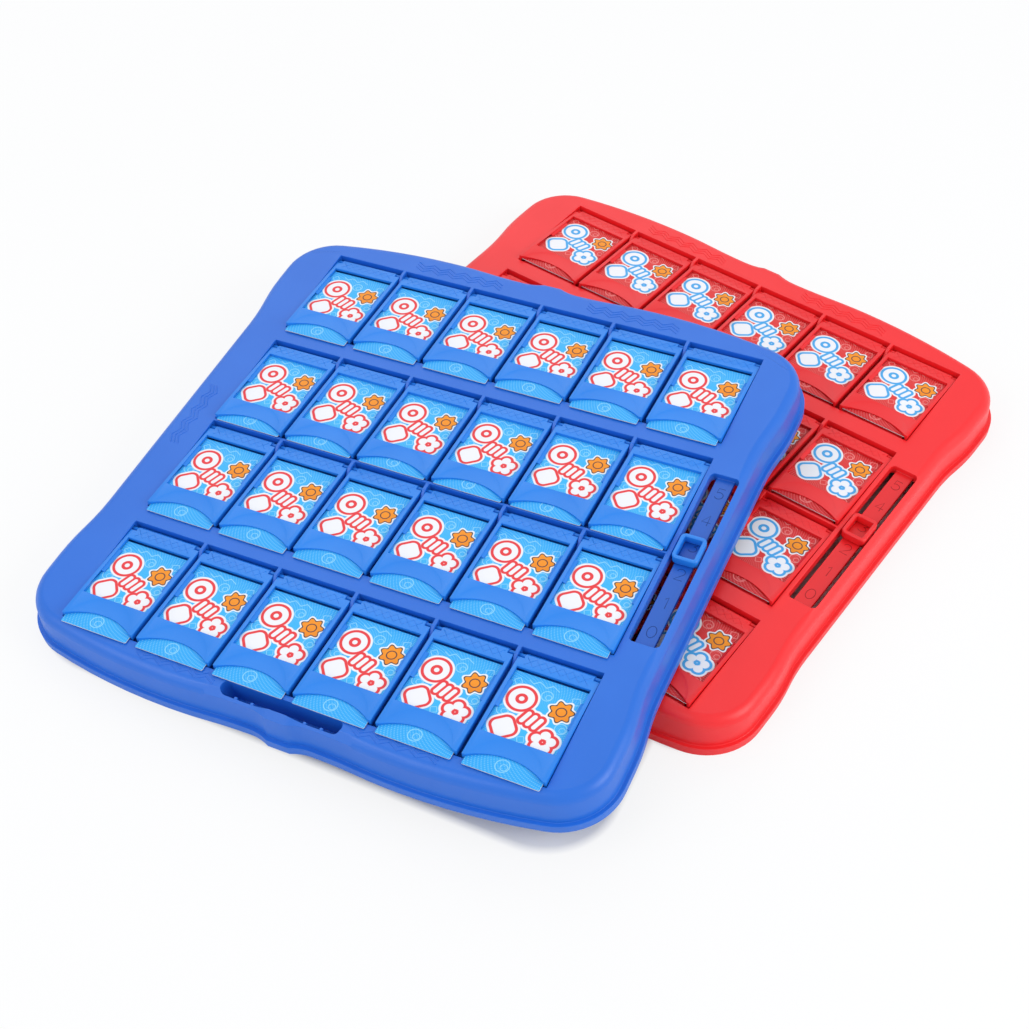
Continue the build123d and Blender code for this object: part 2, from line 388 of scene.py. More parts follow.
def trayLook(colour):
    tone = plastics[colour]
    look = Look(f"{colour}TrayPlastic")
    place = boards[colour].to_translation()
    turn = boards[colour].to_euler()
    coords = look.add("ShaderNodeTexCoord", None, None, 3)
    mapping = {"Vector": coords, "Location": place, "Rotation": turn, "Scale": (mm, mm, mm)}
    flat = look.add("ShaderNodeMapping", {"vector_type": "TEXTURE"}, mapping)
    cloud = look.noise(flat, 0.035, 3.0)
    grain = look.noise(flat, 2.2, 3.0)
    shade = look.mottle(tone["deck"], tone["deckShade"], cloud)
    x, y, z = look.parts(flat)
    # Painted shade: the deck is painted the darker "scale" tone over the recessed score scale, standing
    # in for the shade there
    scaleShadeArea = look.inside(boxGap(x, y, *scaleNumbers["scaleShadeArea"]), 0.4)
    shade = look.paint(shade, tone["scale"], scaleShadeArea * look.inside(z - scaleNumbers["scaleShadeTop"], 1.2))
    rough = plastics["rough"] + (cloud - 0.5) * 0.10 + (grain - 0.5) * 0.05
    return look.finish(shade, rough, look.bump(grain, 0.00002, 0.6), plastics["specular"])


def frameLook(colour):
    tone = plastics[colour]
    look = Look(f"{colour}FramePlastic")
    coords = look.add("ShaderNodeTexCoord", None, None, 3)
    cloud = look.noise(coords, 38.0, 2.0)
    grain = look.noise(coords, 2400.0, 2.0)
    shade = look.mottle(tone["frame"], tone["frameShade"], cloud)
    rough = plastics["rough"] + (cloud - 0.5) * 0.10 + (grain - 0.5) * 0.05
    return look.finish(shade, rough, look.bump(grain, 0.00001, 0.5), plastics["specular"])


# One generic print for every card, in mm from the card's near left corner
cardPrint = {
    "size": (32.3, 48.3),
    "blue": {
        "ground": (0.022, 0.380, 0.860, 1.0),
        "glow": (0.045, 0.470, 0.860, 1.0),
        "line": (0.300, 0.680, 0.910, 1.0),
        "ring": (0.800, 0.042, 0.050, 1.0),
    },
    "red": {
        "ground": (0.600, 0.010, 0.014, 1.0),
        "glow": (0.780, 0.040, 0.036, 1.0),
        "line": (0.880, 0.290, 0.270, 1.0),
        "ring": (0.060, 0.380, 0.780, 1.0),
    },
    "white": (0.86, 0.86, 0.88, 1.0),
    "orange": (0.90, 0.290, 0.012, 1.0),
    "orangeShade": (0.76, 0.180, 0.008, 1.0),
    "dark": (0.030, 0.026, 0.045, 1.0),
    "edge": (0.78, 0.78, 0.77, 1.0),
    "edgeShade": (0.66, 0.66, 0.64, 1.0),
    "edgeSpecular": 0.2,
    "specular": 0.32,
    "middleY": 27.0,
    "smallRings": (
        (17.0, 41.0, 2.3),
        (28.2, 28.6, 2.4),
        (3.8, 28.8, 2.5),
        (28.0, 12.6, 2.5),
        (15.0, 4.8, 2.8),
    ),
    "smallSquares": ((28.6, 42.6, 1.6, 18.0), (3.6, 43.6, 1.3, 40.0), (16.0, 18.4, 1.3, 25.0)),
    "bow": (14.0, 45.4, 6.5),
    "bowWave": (5.6, 0.9),
    "ringLine": 0.18,
    "innerRingLine": 0.14,
    "squareLine": 0.15,
    "grow": (1.14, 17.0, 29.6),
    "band": 1.85,
    "outline": 1.1,
    "target": (9.4, 35.4, 3.35),
    "targetLine": 1.15,
    "targetDot": 0.95,
    "bars": (16.3, 28.3),
    "barShape": (0.8, 2.7, 0.8, -20.0),
    "barStep": (2.5, -0.6),
    "tile": (8.6, 22.4, 2.4, 2.4, 0.8, 38.0),
    "tileLine": 1.2,
    "flower": (23.4, 21.6),
    "flowerHole": 1.25,
    "petals": 5,
    "petalTurn": 20,
    "petalReach": 2.75,
    "petalRadius": 1.75,
    "wheel": (24.2, 35.2),
    "wheelRadius": 3.7,
    "cogs": 7.0,
    "cogHeight": 0.6,
    "wheelBand": 1.2,
    "wheelOutline": 0.5,
    "hubRadius": 1.8,
    "hubLine": 0.2,
}


def paperRough(look):
    # The roughness and the fine relief of a faintly uneven sheet
    coords = look.add("ShaderNodeTexCoord", None, None, 3)
    sheet = look.noise(coords, 900.0, 3.0)
    return 0.46 + (sheet - 0.5) * 0.12, look.bump(sheet, 0.00001, 0.5)


def doodleGap(x, y):
    # Distance to pale line doodles: small rings, squares and a bowed stroke
    plan = cardPrint
    bowX, bowY, bowHalf = plan["bow"]
    bow = zigzagGap(x + y * 0.35, y - bowY, *plan["bowWave"])
    doodles = bow.high(abs(x - bowX) - bowHalf) - plan["ringLine"]
    for middleX, middleY, radius in plan["smallRings"]:
        doodles = doodles.low(abs(circleGap(x, y, middleX, middleY, radius)) - plan["ringLine"])
        inner = circleGap(x, y, middleX + 0.8, middleY - 0.5, radius * 0.5)
        doodles = doodles.low(abs(inner) - plan["innerRingLine"])
    for middleX, middleY, half, turn in plan["smallSquares"]:
        square = boxGap(x, y, middleX, middleY, half, half, 0.3, turn)
        doodles = doodles.low(abs(square) - plan["squareLine"])
    return doodles


def markGap(x, y):
    # Distance to the white marks: a target, three bars, a tile and a flower
    plan = cardPrint
    targetX, targetY, targetRadius = plan["target"]
    marks = abs(circleGap(x, y, targetX, targetY, targetRadius)) - plan["targetLine"]
    marks = marks.low(circleGap(x, y, targetX, targetY, plan["targetDot"]))
    barX, barY = plan["bars"]
    stepX, stepY = plan["barStep"]
    for step in (-1, 0, 1):
        marks = marks.low(boxGap(x, y, barX + step * stepX, barY + step * stepY, *plan["barShape"]))
    marks = marks.low(abs(boxGap(x, y, *plan["tile"])) - plan["tileLine"])
    flowerX, flowerY = plan["flower"]
    for petal in range(plan["petals"]):
        turn = math.radians(360 / plan["petals"] * petal + plan["petalTurn"])
        petalX = flowerX + plan["petalReach"] * math.cos(turn)
        petalY = flowerY + plan["petalReach"] * math.sin(turn)
        marks = marks.low(circleGap(x, y, petalX, petalY, plan["petalRadius"]))
    return marks.high(plan["flowerHole"] - circleGap(x, y, flowerX, flowerY, 0.0))


def cardLook(colour):
    plan = cardPrint
    tone = plan[colour]
    width, length = plan["size"]
    look = Look(f"{colour}CardPrint")
    u, v = look.parts(look.add("ShaderNodeUVMap", {"uv_map": "face"}))[:2]
    x = u * width
    y = v * length

    # Ground: a soft glow from the middle with fine dots in bowed rows
    middleX = width / 2
    middleY = plan["middleY"]
    away = circleGap(x, y, middleX, middleY, 0.0)
    picture = look.paint(tone["glow"], tone["ground"], (away - 3.0) / 20.0)
    rings = (away * 5.2).sine()
    rays = ((y - middleY).angleTo(x - middleX) * 90.0 + away * 1.7).sine()
    dots = look.inside(0.45 - rings * rays, 0.4) * look.inside(9.0 - away, 5.0)
    picture = look.paint(picture, tone["line"], dots * 0.42)
    picture = look.paint(picture, tone["line"], look.inside(doodleGap(x, y), 0.22) * 0.85)

    # White marks with one coloured outline and a white band round them all, drawn larger
    # about the middle of the window
    grow, growX, growY = plan["grow"]
    x = (x - growX) * (1 / grow) + growX
    y = (y - growY) * (1 / grow) + growY
    marks = markGap(x, y)
    picture = look.paint(picture, plan["white"], look.inside(marks - plan["band"], 0.25))
    picture = look.paint(picture, tone["ring"], look.inside(marks - plan["outline"], 0.25))
    picture = look.paint(picture, plan["white"], look.inside(marks, 0.22))

    # An orange wheel with a dark outline
    wheelX, wheelY = plan["wheel"]
    cogs = ((y - wheelY).angleTo(x - wheelX) * plan["cogs"]).sine()
    wheel = circleGap(x, y, wheelX, wheelY, plan["wheelRadius"]) - cogs * plan["cogHeight"]
    picture = look.paint(picture, plan["white"], look.inside(wheel - plan["wheelBand"], 0.25))
    picture = look.paint(picture, plan["dark"], look.inside(wheel - plan["wheelOutline"], 0.22))
    orange = look.paint(plan["orange"], plan["orangeShade"], (y - wheelY) * -0.12)
    picture = look.paint(picture, orange, look.inside(wheel, 0.22))
    hub = abs(circleGap(x, y, wheelX, wheelY, plan["hubRadius"])) - plan["hubLine"]
    picture = look.paint(picture, plan["dark"], look.inside(hub, 0.2))
    return look.finish(picture, *paperRough(look), cardPrint["specular"])


# A generic face on the underside of each card, upright when its frame stands. Lengths are in
# mm from its middle, and a chance has the step that spreads "who" and the share that gets it
facePrint = {
    "skin": (0.88, 0.56, 0.40, 1.0),
    "skinDark": (0.34, 0.155, 0.085, 1.0),
    "black": (0.028, 0.020, 0.018, 1.0),
    "blond": (0.66, 0.38, 0.085, 1.0),
    "ginger": (0.34, 0.080, 0.018, 1.0),
    "backs": ((0.52, 0.77, 0.84, 1.0), (0.86, 0.72, 0.40, 1.0)),
    "shirts": ((0.72, 0.060, 0.055, 1.0), (0.045, 0.36, 0.22, 1.0), (0.09, 0.14, 0.58, 1.0)),
    "lips": (0.55, 0.085, 0.080, 1.0),
    "white": (0.84, 0.84, 0.83, 1.0),
    "skinStep": 7.31,
    "shade": 0.22,
    "chances": {
        "blond": (13.7, 0.36),
        "ginger": (5.3, 0.34),
        "green": (9.1, 0.4),
        "navy": (11.9, 0.36),
        "warmBack": (2.9, 0.5),
        "longHair": (4.1, 0.5),
        "parting": (6.7, 0.5),
        "beard": (8.3, 0.24),
        "glasses": (10.3, 0.3),
        "hat": (12.1, 0.22),
    },
    "head": (0.0, 4.9, 9.9),
    "longHair": (0.0, 0.6, 9.7, 12.4, 8.0),
    "neck": (0.0, -8.0, 2.9, 5.0, 1.5),
    "shoulders": (0.0, -20.6, 11.8, 9.0, 7.0),
    "ear": (7.6, 2.6, 1.6),
    "cheeks": (0.0, 3.0, 8.9),
    "fringe": (13.8, 7.4),
    "partingShift": 5.0,
    "beard": (0.0, -2.6, 5.0),
    "eye": (3.2, 3.9),
    "eyeNarrow": 0.78,
    "eyeRadius": 1.4,
    "pupilRadius": 0.95,
    "brow": (3.3, 6.7, 1.7, 0.4, 0.3, -10.0),
    "nose": (0.0, 1.5, 0.45, 1.7, 0.4),
    "noseTip": (0.0, 0.3, 0.9),
    "smile": (0.0, 0.9, 3.9),
    "smileLine": 0.42,
    "smileTop": -1.7,
    "lensRadius": 2.35,
    "wire": 0.26,
    "bridge": (0.0, 4.1, 1.0, 0.26, 0.2),
    "hat": (0.0, 14.4, 8.4, 3.2, 2.4),
    "brim": (0.0, 11.7, 11.0, 0.9, 0.8),
    "border": (0.0, 0.0, 14.6, 22.6, 1.6),
    "soft": 0.22,
}


def faceLook():
    # The number "who" of each card picks its hair, skin, clothes and what it wears
    plan = facePrint
    width, length = cardPrint["size"]
    look = Look("cardFace")
    u, v = look.parts(look.add("ShaderNodeUVMap", {"uv_map": "face"}))[:2]
    x = (u - 0.5) * width
    y = (0.5 - v) * length
    side = abs(x)
    who = look.add("ShaderNodeAttribute", {"attribute_name": "who"}, None, "Fac")

    def chance(name):
        step, share = plan["chances"][name]
        return look.inside((who * step) % 1.0 - share, 0.001)

    def lay(under, over, gap, mask=1.0):
        return look.paint(under, over, look.inside(gap, plan["soft"]) * mask)

    skin = look.paint(plan["skin"], plan["skinDark"], (who * plan["skinStep"]) % 1.0)
    deep = look.paint(skin, plan["black"], plan["shade"])
    hair = look.paint(plan["black"], plan["blond"], chance("blond"))
    hair = look.paint(hair, plan["ginger"], chance("ginger"))
    red, green, navy = plan["shirts"]
    shirt = look.paint(look.paint(red, green, chance("green")), navy, chance("navy"))
    coolBack, warmBack = plan["backs"]

    head = circleGap(x * 1.04, y, *plan["head"])
    picture = look.paint(coolBack, warmBack, chance("warmBack"))
    picture = lay(picture, hair, boxGap(x, y, *plan["longHair"]), chance("longHair"))
    picture = lay(picture, hair, head)
    picture = lay(picture, deep, boxGap(x, y, *plan["neck"]))
    picture = lay(picture, shirt, boxGap(x, y, *plan["shoulders"]))
    picture = lay(picture, skin, circleGap(side, y, *plan["ear"]))
    picture = lay(picture, skin, circleGap(x * 1.2, y, *plan["cheeks"]))
    parting = (chance("parting") - 0.5) * plan["partingShift"]
    fringe = circleGap(x * 1.06, y, parting, *plan["fringe"])
    picture = lay(picture, hair, fringe.high(head))
    picture = lay(picture, hair, circleGap(x * 1.12, y, *plan["beard"]), chance("beard"))

    eyeX, eyeY = plan["eye"]
    narrow = plan["eyeNarrow"]
    eye = circleGap(side * narrow, y, eyeX * narrow, eyeY, plan["eyeRadius"])
    picture = lay(picture, plan["white"], eye)
    picture = lay(picture, plan["black"], circleGap(side, y, eyeX, eyeY, plan["pupilRadius"]))
    picture = lay(picture, hair, boxGap(side, y, *plan["brow"]))
    nose = boxGap(x, y, *plan["nose"]).low(circleGap(x, y, *plan["noseTip"]))
    picture = lay(picture, deep, nose)
    smile = abs(circleGap(x, y, *plan["smile"])) - plan["smileLine"]
    picture = lay(picture, plan["lips"], smile.high(y - plan["smileTop"]))

    glasses = abs(circleGap(side, y, eyeX, eyeY, plan["lensRadius"])) - plan["wire"]
    glasses = glasses.low(boxGap(x, y, *plan["bridge"]))
    picture = lay(picture, plan["black"], glasses, chance("glasses"))
    hat = boxGap(x, y, *plan["hat"]).low(boxGap(x, y, *plan["brim"]))
    picture = lay(picture, shirt, hat, chance("hat"))
    picture = lay(plan["white"], picture, boxGap(x, y, *plan["border"]))
    return look.finish(picture, *paperRough(look), cardPrint["specular"])


def cardEdgeLook():
    # Bare white board along the cut edges of a card
    look = Look("cardEdge")
    coords = look.add("ShaderNodeTexCoord", None, None, 3)
    fibre = look.noise(coords, 2600.0, 3.0)
    white = look.paint(cardPrint["edge"], cardPrint["edgeShade"], fibre)
    rough = 0.6 + (fibre - 0.5) * 0.2
    return look.finish(white, rough, look.bump(fibre, 0.00001, 0.6), cardPrint["edgeSpecular"])


def zigzagRidge(name, runs, width, sink):
    # One raised moulded line for each run of points, in mm, as round bars half sunk
    shape = bpy.data.curves.new(name, "CURVE")
    shape.dimensions = "3D"
    shape.bevel_depth = width / 2 * mm
    shape.bevel_resolution = 1
    shape.use_fill_caps = True
    for points in runs:
        spline = shape.splines.new("POLY")
        spline.points.add(len(points) - 1)
        for point, (x, y, z) in zip(spline.points, points):
            point.co = (x * mm, y * mm, (z - sink) * mm, 1.0)
    ridge = bpy.data.objects.new(name, shape)
    bpy.context.scene.collection.objects.link(ridge)
    activate(ridge)
    bpy.ops.object.convert(target="MESH")
    ridge = bpy.context.object
    bpy.ops.object.mode_set(mode="EDIT")
    bpy.ops.mesh.select_all(action="SELECT")
    bpy.ops.mesh.remove_doubles(threshold=1e-6)
    bpy.ops.object.mode_set(mode="OBJECT")
    turnOutwards(ridge)
    return ridge


def zigzagPoints(start, middle, count, step, swing, z, swap=False, first=1):
    # Points of a zigzag with count half waves from start, about a middle line
    points = []
    for i in range(count + 1):
        side = first if i % 2 == 0 else -first
        along = start + i * step
        across = middle + side * swing
        points.append((across, along, z) if swap else (along, across, z))
    return points


def joinTo(piece, other):
    deselectAll()
    other.select_set(True)
    piece.select_set(True)
    bpy.context.view_layer.objects.active = piece
    bpy.ops.object.join()


flipFrame = {
    "top": 1.7,
    "barMiddle": -2.95,
    "barStart": -13.65,
    "barStep": 3.9,
    "barWaves": 7,
    "barSwing": 1.95,
    "barLine": 0.36,
    "barSink": 0.05,
    "scoopPlace": (0.0, -55.2, 2.0),
    "scoopRadius": (16.2, 16.2, 1.35),
    "notchPlace": -75.3,
    "notchRadius": 28.08,
    "notchDepth": 20.0,
    "railX": 15.8,
    "tabPlace": -20.0,
    "tabHalf": 6.6,
    "tabReach": 1.35,
    "tabSunk": 0.6,
    "tabBottom": 0.42,
    "tabTop": 0.75,
    "tabRailTop": 1.45,
    "edge": 0.22,
}


def makeFlipMaster():
    plan = flipFrame
    activate(mergedCopy("red_flip_r1c1", "flipMaster", flipTurn("red", 1, 1).inverted()))
    bpy.ops.object.mode_set(mode="EDIT")
    bpy.ops.mesh.select_all(action="SELECT")
    bpy.ops.mesh.separate(type="LOOSE")
    bpy.ops.object.mode_set(mode="OBJECT")
    shells = sorted(bpy.context.selected_objects, key=lambda shell: len(shell.data.vertices))
    master = shells.pop()
    for shell in shells:
        bpy.data.objects.remove(shell)
    master.name = "flipMaster"

    # A finer arc for the finger notch
    deselectAll()
    bpy.ops.mesh.primitive_cylinder_add(
        vertices=160,
        radius=plan["notchRadius"] * mm,
        depth=plan["notchDepth"] * mm,
        location=(0, plan["notchPlace"] * mm, 0),
    )
    combine(master, startPart("notchTool"), "DIFFERENCE")

    # The shallow thumb scoop on the lip
    deselectAll()
    bpy.ops.mesh.primitive_uv_sphere_add(segments=96, ring_count=48, radius=1.0)
    tool = startPart("scoopTool")
    scale = Matrix.Diagonal([side * mm for side in plan["scoopRadius"]]).to_4x4()
    bake(tool, Matrix.Translation([side * mm for side in plan["scoopPlace"]]) @ scale)
    combine(master, tool, "DIFFERENCE")

    # Two small sloping tabs that hold the card down at the rails
    for side in (-1, 1):
        deselectAll()
        bpy.ops.mesh.primitive_cube_add(size=1.0)
        tab = startPart("tab")
        for vertex in tab.data.vertices:
            inner = vertex.co.x > 0
            x = side * (plan["railX"] + (-plan["tabReach"] if inner else plan["tabSunk"]))
            y = plan["tabPlace"] + math.copysign(plan["tabHalf"], vertex.co.y)
            top = plan["tabTop"] if inner else plan["tabRailTop"]
            z = top if vertex.co.z > 0 else plan["tabBottom"]
            vertex.co = (x * mm, y * mm, z * mm)
        turnOutwards(tab)
        combine(master, tab, "UNION")

    softenEdges(master, plan["edge"] * mm)
    smoothFaces(master, 32)

    # Crossed zigzags moulded on the hinge bar
    wave = (plan["barStart"], plan["barMiddle"], plan["barWaves"], plan["barStep"], plan["barSwing"])
    runs = [zigzagPoints(*wave, plan["top"], first=side) for side in (1, -1)]
    bars = zigzagRidge("barRelief", runs, plan["barLine"], plan["barSink"])
    joinTo(master, bars)
    print("flip frame", len(master.data.polygons), "faces")
    return master


flipCard = {
    "width": 32.3,
    "length": 48.3,
    "thick": 0.5,
    "corner": 0.5,
    "edge": 0.06,
    "frameLength": 52.3,
    "standOut": {"red": (-0.4, -0.4, -0.4, -0.4), "blue": (3.4, 1.3, 3.4, 3.4)},
    "spread": 0.618034,
}


def makeCardMaster():
    # A thin sheet whose cut corners and edges are just eased
    deselectAll()
    bpy.ops.mesh.primitive_cube_add(size=1.0)
    card = startPart("cardMaster")
    width = flipCard["width"] * mm
    length = flipCard["length"] * mm
    size = Matrix.Diagonal((width, length, flipCard["thick"] * mm)).to_4x4()
    bake(card, Matrix.Translation((0, length / 2, 0)) @ size)
    pickEdges(card, lambda ends, normals: abs(ends[0].z - ends[1].z) > 0.0001)
    bevelPicked(flipCard["corner"] * mm, 3)
    softenEdges(card, flipCard["edge"] * mm, 1, 0.9)
    smoothFaces(card, 40)
    mapFromAbove(card, width, length)

    # Print on the top, a face on the underside and bare board between
    for face in card.data.polygons:
        rise = face.normal.z
        face.material_index = 1 if abs(rise) < 0.5 else 0 if rise > 0 else 2
    return card


frameMaster = makeFlipMaster()
cardMaster = makeCardMaster()
cardEdge = cardEdgeLook()
cardFace = faceLook()
for colour in colours:
    framePlastic = frameLook(colour)
    cardPaper = cardLook(colour)
    for row in range(1, 5):
        standOut = flipCard["standOut"][colour][row - 1]
        cardShift = Matrix.Translation((0, -(flipCard["frameLength"] + standOut) * mm, 0))
        for column in range(1, 7):
            spot = f"r{row}c{column}"
            node = f"{colour}_flip_{spot}"
            turn = flipTurn(colour, row, column)
            flip = copyOf(frameMaster, f"{colour}Frame_{spot}", turn)
            card = copyOf(cardMaster, f"{colour}Card_{spot}", turn @ cardShift)
            number = (row - 1) * 6 + column + (24 if colour == "blue" else 0)
            who = card.data.attributes.new("who", "FLOAT", "POINT")
            for point in who.data:
                point.value = number * flipCard["spread"] % 1.0
            for piece, paints in ((flip, [framePlastic]), (card, [cardPaper, cardEdge, cardFace])):
                repaint(piece, paints)
                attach(piece, node)
                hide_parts(node)
bpy.data.objects.remove(frameMaster)
bpy.data.objects.remove(cardMaster)
print("48 flip frames with their cards")


# Numbers on the scale in thin low strokes, 0 at the near end. Their dark colour is painted shade, in
# place of the shade that moulded numbers show
scaleNumbers = {
    "places": {"0": -40.7, "1": -25.3, "2": -9.7, "3": 6.1, "4": 21.3, "5": 37.0},
    "x": 120.5,
    "z": 16.5,
    # The area and the top of the painted shade over the recessed scale, in mm on the board
    "scaleShadeArea": (120.5, -1.9, 6.0, 47.2, 1.0),
    "scaleShadeTop": 17.4,
    "line": 0.56,
    "sink": 0.19,
    "strokes": {
        "0": [("arc", 0.0, 0.0, 1.9, 2.9, 0, 360)],
        "1": [("line", (-1.0, 1.8), (0.35, 2.9), (0.35, -2.9))],
        "2": [("arc", 0.0, 1.25, 1.75, 1.65, 165, -35), ("line", (-1.8, -2.9), (1.85, -2.9))],
        "3": [("arc", -0.1, 1.45, 1.6, 1.45, 150, -84), ("arc", -0.1, -1.45, 1.85, 1.45, 84, -150)],
        "4": [("line", (0.75, -2.9), (0.75, 2.9), (-1.95, -1.1), (1.95, -1.1))],
        "5": [("line", (1.6, 2.9), (-1.25, 2.9)), ("arc", -0.15, -1.05, 1.85, 1.85, 135, -150)],
    },
}


def numberPoints(number, middle):
    # One line through all the strokes of a number, in mm
    spots = []
    for kind, *values in scaleNumbers["strokes"][number]:
        if kind == "line":
            spots += values
            continue
        x, y, radiusX, radiusY, start, end = values
        steps = max(8, abs(end - start) // 12)
        angles = [math.radians(start + (end - start) * i / steps) for i in range(steps + 1)]
        spots += [(x + radiusX * math.cos(turn), y + radiusY * math.sin(turn)) for turn in angles]
    return [(scaleNumbers["x"] + x, middle + y, scaleNumbers["z"]) for x, y in spots]


def paintedShadeNumberLook(colour):
    tone = plastics[colour]
    look = Look(f"{colour}NumberPaintedShade")
    coords = look.add("ShaderNodeTexCoord", None, None, 3)
    grain = look.noise(coords, 2400.0, 2.0)
    # Painted shade: the numbers are painted a dark tone of the plastic, in place of their shade
    shade = look.paint(tone["number"], tone["numberShade"], grain)
    rough = plastics["rough"] + 0.1 + (grain - 0.5) * 0.1
    return look.finish(shade, rough, look.bump(grain, 0.00001, 0.5), plastics["numberSpecular"])


def makeNumbers(colour):
    plan = scaleNumbers
    runs = [numberPoints(number, middle) for number, middle in plan["places"].items()]
    numbers = zigzagRidge(f"{colour}Numbers", runs, plan["line"], plan["sink"])
    numbers.data.transform(boards[colour])
    smoothFaces(numbers, 50)
    repaint(numbers, [paintedShadeNumberLook(colour)])
    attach(numbers, f"{colour}_board")


# Widths of the roundings and where they change, in mm on the board, and the least angle of
# a sharp edge in radians. The cuts run through every pocket, slot and pin hole
trayEdges = {
    "roundover": 1.65,
    "segments": 4,
    "edge": 0.28,
    "fine": 0.07,
    "sharp": 0.6,
    "short": 0.8,
    "cutsX": (-91.1, -52.9, -33.0, -17.1, 19.9, 33.0, 56.9, 93.9),
    "cutsY": (115.289, 88.0, 50.794, 23.5, -5.5, -36.5, -69.894, -100.0),
    "cardSlot": (34.0, -120.0),
    "scoreSlot": (126.14, -48.43, 44.63),
    "scoreWidth": 11.0,
    "scoreSide": 127.2,
    "scoreCorner": 1.8,
    "cornerDepth": 1.2,
    "fade": 6.0,
    "lead": 0.17,
    "fadePieces": 4,
    "rimHalf": (134.8, 136.0),
    "rimShare": 0.86,
    "chamferDepth": 3.5,
    "chamferSlope": (0.3, 0.9),
}

# The zigzag bands moulded in the deck: start, middle line, half waves and number of lines
deckRelief = {
    "across": (
        (22.4, 123.4, 11, 3),
        (-22.4 - 11 * 4.2, 123.4, 11, 3),
        (31.0, -126.9, 9, 2),
        (-31.0 - 9 * 4.2, -126.9, 9, 2),
    ),
    "along": ((-21.5, -119.6, 9, 3),),
    "step": 4.2,
    "swing": 1.15,
    "gap": 1.8,
    "line": 0.74,
    "sink": 0.1,
}


def makeDeckRelief(colour):
    plan = deckRelief
    runs = []
    for way in ("across", "along"):
        for start, middle, count, lines in plan[way]:
            for line in range(lines):
                place = middle + (line - (lines - 1) / 2) * plan["gap"]
                wave = (start, place, count, plan["step"], plan["swing"])
                runs.append(zigzagPoints(*wave, boardPlan["deck"], way == "along"))
    relief = zigzagRidge(f"{colour}DeckRelief", runs, plan["line"], plan["sink"])
    relief.data.transform(boards[colour])
    smoothFaces(relief, 50)
    relief.data.materials.append(bpy.data.materials[f"{colour}TrayPlastic"])
    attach(relief, f"{colour}_board")


def middleOf(ends):
    return (ends[0] + ends[1]) / 2 / mm


def atRim(middle):
    # Round the outside, but not beside the card slot that cuts into it
    width, near = trayEdges["cardSlot"]
    halfX, halfY = trayEdges["rimHalf"]
    outer = max(abs(middle.x) / halfX, abs(middle.y) / halfY) > trayEdges["rimShare"]
    return outer and not (abs(middle.x) < width and middle.y < near)


def slotGap(middle):
    # How far a place at the right edge is from the ends of the score slot, in mm
    x, near, far = trayEdges["scoreSlot"]
    if middle.x < x - trayEdges["scoreWidth"]:
        return 2 * trayEdges["fade"]
    return max(near - middle.y, middle.y - far)


def byCorner(middle):
    # Near a place where the score slot runs out into the chamfer, on the deck
    x, near, far = trayEdges["scoreSlot"]
    reach = min(math.hypot(middle.x - x, middle.y - y) for y in (near, far))
    return reach < trayEdges["scoreCorner"] and middle.z > boardPlan["deck"] - trayEdges["cornerDepth"]


def rimSlopes(ends, normals, depth):
    # How much the two faces beside an edge look up, or nothing when it lies deeper than depth
    if len(normals) != 2 or min(end.z for end in ends) < (boardPlan["deck"] - depth) * mm:
        return None
    return sorted(normal.z for normal in normals)


def upperRim(ends, normals):
    # Where the deck turns into the chamfer
    slopes = rimSlopes(ends, normals, 0.1)
    low, high = trayEdges["chamferSlope"]
    return bool(slopes) and low < slopes[0] < high and slopes[1] > 0.99


def lowerRim(ends, normals):
    # Where the chamfer turns into the wall
    slopes = rimSlopes(ends, normals, trayEdges["chamferDepth"])
    low, high = trayEdges["chamferSlope"]
    return bool(slopes) and slopes[0] < 0.2 and low < slopes[1] < high


def slopedRim(ends, normals):
    # Cuts in the chamfer and the wall, where nothing opens into them
    middle = middleOf(ends)
    apart = atRim(middle) and slotGap(middle) > trayEdges["fade"]
    return apart and all(0.01 < normal.z < 0.95 for normal in normals)


def roundWidth(ends, normals):
    # Every sharp edge is eased. Both edges of the chamfer are rounded more, but less and less
    # towards the score slot, and not beside the card slot
    plan = trayEdges
    if len(normals) != 2 or normals[0].angle(normals[1], 0.0) < plan["sharp"]:
        return 0.0
    middle = middleOf(ends)
    width, near = plan["cardSlot"]
    if byCorner(middle) or (abs(middle.x) < width and middle.y < near):
        return plan["fine"]
    if not atRim(middle) or (slotGap(middle) < 0 and middle.x < plan["scoreSide"]):
        return plan["edge"]
    if upperRim(ends, normals):
        share = min(1.0, max(0.0, slotGap(middle) / plan["fade"] - plan["lead"]))
        return plan["edge"] + share * (plan["roundover"] - plan["edge"])
    return plan["roundover"] if lowerRim(ends, normals) else plan["edge"]


def shortRim(ends, normals):
    # Pieces that a cut leaves at the rim, too short for its rounding
    short = (ends[0] - ends[1]).length < trayEdges["short"] * mm
    return short and roundWidth(ends, normals) == trayEdges["roundover"]


def fadingRim(ends, normals):
    return upperRim(ends, normals) and slotGap(middleOf(ends)) < trayEdges["fade"]


